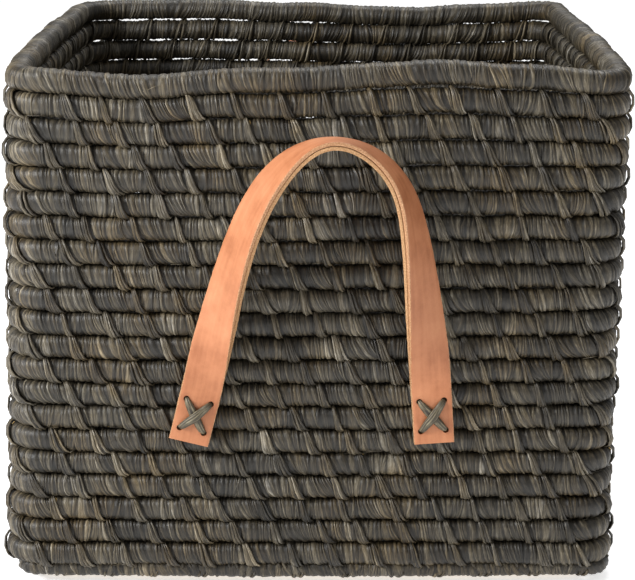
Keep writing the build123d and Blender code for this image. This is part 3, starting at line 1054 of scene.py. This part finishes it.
def make_ply(side, layer):
    """One ply of one strap."""
    centres, along, across, normal = strap_frames(side)
    places, on_edge = ply_section(ply_thickness)
    offset = (ply_thickness + glue_line) / 2 * (1 if layer == "face" else -1)
    rng = np.random.default_rng({"front": 61, "back": 71}[side] + (layer == "face"))
    count = len(centres)
    wander = np.convolve(rng.normal(0, 0.35, count + 20), np.ones(21) / 21, "valid")
    fray = rng.normal(0, 0.05, (len(places), count)) * on_edge_weight(on_edge)[:, None]
    a = places[:, 0][:, None] * (1 + fray * 0.15) + wander[None, :]
    b = places[:, 1][:, None] + offset
    points = centres[None] + across[None] * a[..., None] + normal[None] * b[..., None]
    points = np.concatenate([points, points[:1]])
    length = length_along(centres)
    girth = length_along(np.vstack([places, places[:1]]))
    uv = np.stack(np.broadcast_arrays(length[None, :], girth[:, None]), -1)
    obj = grid_tube(f"{side}_strap_{layer}", points, uv)
    attribute(obj, "cut_edge", np.repeat(on_edge[:, None], count - 1, 1), "FACE")
    edit(obj, merge, close_ends, outward)
    punch(obj, side)
    shade_round_holes(obj, side)
    pick(obj)
    bpy.ops.object.shade_smooth_by_angle(angle=math.radians(40))
    obj.data.materials.clear()
    obj.data.materials.append(grain_leather if layer == "face" else flesh_leather)
    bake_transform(obj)
    ends = [f"{side}_handle_{end}_end_{layer}" for end in ("left", "right")]
    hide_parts(f"{side}_handle_loop_{layer}", *ends)
    return obj


def on_edge_weight(on_edge):
    """1 for the places on a cut edge."""
    return np.maximum(on_edge, np.roll(on_edge, 1)).astype(float)


def punch(obj, side):
    """Punches the lace holes through a ply."""
    turned = half_turn(side)[0]
    cutters = []
    for x, z in hole_places():
        deselect()
        bpy.ops.mesh.primitive_cylinder_add(
            vertices=20,
            radius=hole_radius * MM,
            depth=30 * MM,
            location=(x * turned * MM, -seat * turned * MM, z * MM),
            rotation=(math.pi / 2, 0, 0),
        )
        cutters.append(bpy.context.object)
    cutter = join(cutters)
    bpy.ops.object.transform_apply(location=True, rotation=True, scale=True)
    pick(obj)
    cut = obj.modifiers.new("lace_holes", "BOOLEAN")
    cut.operation, cut.object, cut.solver = "DIFFERENCE", cutter, "EXACT"
    bpy.ops.object.modifier_apply(modifier=cut.name)
    bpy.data.objects.remove(cutter)


def shade_round_holes(obj, side):
    """Writes the painted shade round the lace holes at each point: 1 at the rim of a lace hole, fading over
    1.1 mm.
    """
    turned = half_turn(side)[0]
    co = np.array([v.co for v in obj.data.vertices]) / MM
    painted_hole_shade = np.zeros(len(co))
    for x, z in hole_places():
        away = np.hypot(co[:, 0] - x * turned, co[:, 2] - z)
        painted_hole_shade = np.maximum(painted_hole_shade, np.clip(1 - (away - 1.5) / 1.1, 0, 1))
    attribute(obj, "painted_hole_shade", painted_hole_shade * 0.55, "POINT")


for side in ("front", "back"):
    for layer in ("lining", "face"):
        ply = make_ply(side, layer)
        print(ply.name, len(ply.data.polygons), "faces")

# %% [markdown]
# ## Laces and knots
#
# Each end of a strap is held by one cord of twisted raffia that crosses over itself in front. It is fat and
# oval where it lies on the leather and thin where it dives into a hole. The tube follows the cord's whole
# way: in at one upper hole, out, and back in at the other, with a knot at each end inside the bin.


# %% Lace material
def cord_raffia():
    material, tree, shader = new_material("dyed_raffia_cord")
    uv = add(tree, "ShaderNodeUVMap").outputs["UV"]
    along_cord = {"Vector": uv, "Scale": (0.14, 2.2, 1.0), "Rotation": (0, 0, 0.12)}
    place = add(tree, "ShaderNodeMapping", along_cord)
    streak = add(
        tree,
        "ShaderNodeTexNoise",
        {"Vector": place.outputs["Vector"], "Scale": 1.0, "Detail": 4.0, "Roughness": 0.6},
    ).outputs["Fac"]
    browns = [(0.3, "#0F0C07"), (0.42, "#352D1F"), (0.55, "#5E5541"), (0.7, "#948A70")]
    colour = add(tree, "ShaderNodeValToRGB", {"Fac": streak}, browns).outputs["Color"]
    tree.links.new(colour, shader.inputs["Base Color"])
    shader.inputs["Roughness"].default_value = 0.5
    relief = add(tree, "ShaderNodeBump", {"Height": streak, "Strength": 0.8, "Distance": 0.4 * MM})
    tree.links.new(relief.outputs["Normal"], shader.inputs["Normal"])
    return material


lace_material = cord_raffia()


def cord_tube(name, line, across, half_widths, half_heights, sides=14):
    """A closed oval tube along a line of points in mm. Across is the way that the wide side lies."""
    along = unit(np.gradient(line, axis=0))
    wide = unit(across - along * np.sum(across * along, axis=1)[:, None])
    thin = np.cross(wide, along)
    turn = np.linspace(0, -math.tau, sides + 1)
    ridges = 1 + 0.09 * np.cos(5 * turn + 0.6)
    points = (
        line[None]
        + wide[None] * (np.cos(turn) * ridges)[:, None, None] * half_widths[None, :, None]
        + thin[None] * (np.sin(turn) * ridges)[:, None, None] * half_heights[None, :, None]
    )
    points[-1] = points[0]
    length = length_along(line)
    uv = np.stack(np.broadcast_arrays(length[None, :], -turn[:, None] * 1.3), -1)
    obj = grid_tube(name, points, uv)
    edit(obj, merge, close_ends, outward)
    smooth(obj)
    return obj


def leg(a, b, front, over):
    """Places along one leg of a cross: x, y, z, half width and half height."""
    rows = []
    shape = [
        (0.00, 5.0, 0.85, 0.85),
        (0.00, 1.6, 1.25, 0.95),
        (0.06, -0.45, 1.65, 1.0),
        (0.25, -1.2, 2.15, 1.05),
        (0.50, -1.3, 2.4, 1.05),
        (0.75, -1.2, 2.15, 1.05),
        (0.94, -0.45, 1.65, 1.0),
        (1.00, 1.6, 1.25, 0.95),
        (1.00, 5.0, 0.85, 0.85),
    ]
    for share, depth, wide, thin in shape:
        place = a + (b - a) * share
        lifted = over * math.exp(-(((share - 0.5) / 0.22) ** 2))
        rows.append((place[0], -front + depth - lifted, place[1], wide, thin))
    return rows


def cord_at(place, y, wide=0.85, thin=0.85):
    """One place on a cord: x, y, z, half width and half height."""
    return (place[0], y, place[1], wide, thin)


lace_points, knot_points = 420, 91


def make_lace(side, end):
    """The whole lace of one end of one strap."""
    places = hole_places()[:4] if end == "left" else hole_places()[4:]
    top_left, top_right, low_left, low_right = places
    front = seat + stand_off + 2 * ply_thickness + glue_line
    inside = 4.0 - lace_back
    rows = [cord_at(top_left, 4.0 - inside, 0.9), cord_at(top_left, -inside - 6)]
    rows += leg(top_left, low_right, front, 0.0)
    rows += [cord_at(low_right, -inside - 3), cord_at(low_right, -inside - 0.6, 0.9)]
    rows += [cord_at((low_left + low_right) / 2, -inside + 1.3, 1.2, 0.75)]
    rows += [cord_at(low_left, -inside - 0.6, 0.9), cord_at(low_left, -inside - 3)]
    rows += leg(low_left, top_right, front, 1.9)
    rows += [cord_at(top_right, -inside - 6), cord_at(top_right, 4.0 - inside, 0.9)]
    first, last = (0, -1, 0, 0, 0), (0, 1, 0, 0, 0)
    path = smooth_curve(rows, first, last, lace_points)
    legs = np.stack([low_right - top_left, top_right - low_left])
    share = np.clip((np.linspace(0, 1, lace_points) - 0.42) / 0.16, 0, 1)[:, None]
    lies = [np.array([way[1], 0, -way[0]]) / np.hypot(*way) for way in legs]
    if np.dot(lies[0], lies[1]) < 0:
        lies[1] = -lies[1]
    across = lies[0] * (1 - share) + lies[1] * share
    spin = half_turn(side)
    lace = cord_tube(f"{side}_{end}_lace", path[:, :3] * spin, across * spin, path[:, 3], path[:, 4])
    finish_piece(lace, lace_material, "bin", "raffia_cord", f"{side}_{end}_lacing")
    knots = []
    for x, z in (top_left, top_right):
        t = np.linspace(0, math.tau, knot_points)
        loop = np.stack(
            [np.sin(t) + 2 * np.sin(2 * t), -np.sin(3 * t) * 1.1, np.cos(t) - 2 * np.cos(2 * t)], -1
        ) * 0.78 + np.array([x, -inside + 1.2, z])
        way = np.gradient(loop, axis=0)
        wide = np.cross(way, np.array([0, 1.0, 0]))
        halves = np.full(knot_points, 0.8), np.full(knot_points, 0.7)
        knots.append(cord_tube(f"knot_{x:.0f}", loop * spin, wide * spin, *halves, 10))
    joined = join(knots)
    joined.name = joined.data.name = f"{side}_{end}_knot_pair"
    edit(joined, outward)
    finish_piece(joined, lace_material, "bin", "raffia_cord", f"{side}_{end}_knots")


for side in ("front", "back"):
    for end in ("left", "right"):
        make_lace(side, end)

# %% [markdown]
# ## Loose ends
#
# Wrapped raffia is never tidy: a few fibre ends spring out of the grooves and over the rim. They are laid
# with the same fibre as the stitches, thin and curling away from the wall. Here and there a stitch has
# pulled a sliver of the straw-coloured core out through the wrap.

# %% Loose ends and slivers of the core
rng = np.random.default_rng(1200)
t = np.linspace(0, 1, fibre_steps + 1)
lines_of, tones = [], []
for _ in range(90):
    turn = int(rng.integers(0, turns))
    line = wall_lines[turn]
    s0, long, way = rng.uniform(0, line["length"]), rng.uniform(4, 9), rng.choice([-1, 1])
    start = math.radians(rng.uniform(-78, -45) if turn < turns - 1 else rng.uniform(-60, 110))
    lift = 0.35 + rng.uniform(0.3, 1.4) * t**2
    angle = start + rng.uniform(-0.2, 0.5) * t
    points, normal = surface(line, s0 + way * long * t, angle, wall_out, wall_up, lift)
    lines_of.append((points, normal, 0.24 * (1.1 - t), np.full(len(t), 0.14)))
    tones.append(rng.uniform(0.45, 0.8))
loose = lay_fibres("loose_ends", lines_of, np.array(tones))
finish_piece(loose, stitch_raffia, "bin", "raffia_wrap")

lines_of = []
for line, s0, start, long in slivers:
    angle = math.radians(start) - long / coil_radius * t
    points, normal = surface(line, s0 + 0.25 * long * t, angle, wall_out, wall_up, np.full(len(t), 0.42))
    lines_of.append((points, normal, 0.55 * np.sin(math.pi * (0.12 + 0.76 * t)), np.full(len(t), 0.25)))
core_slivers = lay_fibres("core_slivers", lines_of, np.full(len(lines_of), 0.5))
finish_piece(core_slivers, palm_material, "bin", "palm_core")
print("loose ends and slivers:", len(tones), len(lines_of))

# %% [markdown]
# ## Studio
#
# The bin stands on a plain white floor under soft light: a panel close by on the left as the key, a larger
# one overhead and a little behind, and an even white surround. The camera is a long lens, a little above
# the rim.

# %% Floor, lights and camera
deselect()
bpy.ops.mesh.primitive_plane_add(size=24, location=(0, 4, 0))
floor = bpy.context.object
floor.name = "studio_floor"
paper, tree, shader = new_material("white_studio_paper")
shader.inputs["Base Color"].default_value = linear("#F4F4F4")
shader.inputs["Roughness"].default_value = 0.9
shader.inputs["Emission Color"].default_value = (1, 1, 1, 1)
shader.inputs["Emission Strength"].default_value = 0.62
floor.data.materials.append(paper)
floor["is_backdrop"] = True

world = bpy.data.worlds.new("studio_surround")
bpy.context.scene.world = world
world.use_nodes = True
world.node_tree.nodes["Background"].inputs["Color"].default_value = (1, 1, 1, 1)
world.node_tree.nodes["Background"].inputs["Strength"].default_value = 0.42


def panel(name, place, aim, size, power):
    """A square soft light of a size in metres that faces a point."""
    light = bpy.data.lights.new(name, "AREA")
    light.shape, light.size, light.energy = "SQUARE", size, power
    obj = bpy.data.objects.new(name, light)
    obj.location = place
    obj.rotation_mode = "QUATERNION"
    obj.rotation_quaternion = (Vector(aim) - Vector(place)).to_track_quat("-Z", "Y")
    bpy.context.scene.collection.objects.link(obj)


panel("key_panel", (-1.0, -0.62, 0.75), (-0.08, -0.12, 0.15), 0.4, 20)
panel("top_panel", (0.2, 0.7, 2.0), (0, 0, 0.2), 0.9, 26)

camera_data = bpy.data.cameras.new("camera")
camera_data.lens, camera_data.sensor_width = 113.5, 36
camera_data.clip_start, camera_data.clip_end = 0.05, 60
camera = bpy.data.objects.new("camera", camera_data)
camera.location = (0.00234, -1.2277, 0.4366)
camera_tilt = 14.05
camera.rotation_euler = (math.radians(90 - camera_tilt), 0, 0)
bpy.context.scene.collection.objects.link(camera)
bpy.context.scene.camera = camera
bpy.context.scene.view_settings.view_transform = "Standard"

# %% Sizes and finish
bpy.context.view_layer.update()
total = sum(sum(len(p.vertices) - 2 for p in o.data.polygons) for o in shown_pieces())
print("triangles in all:", total)
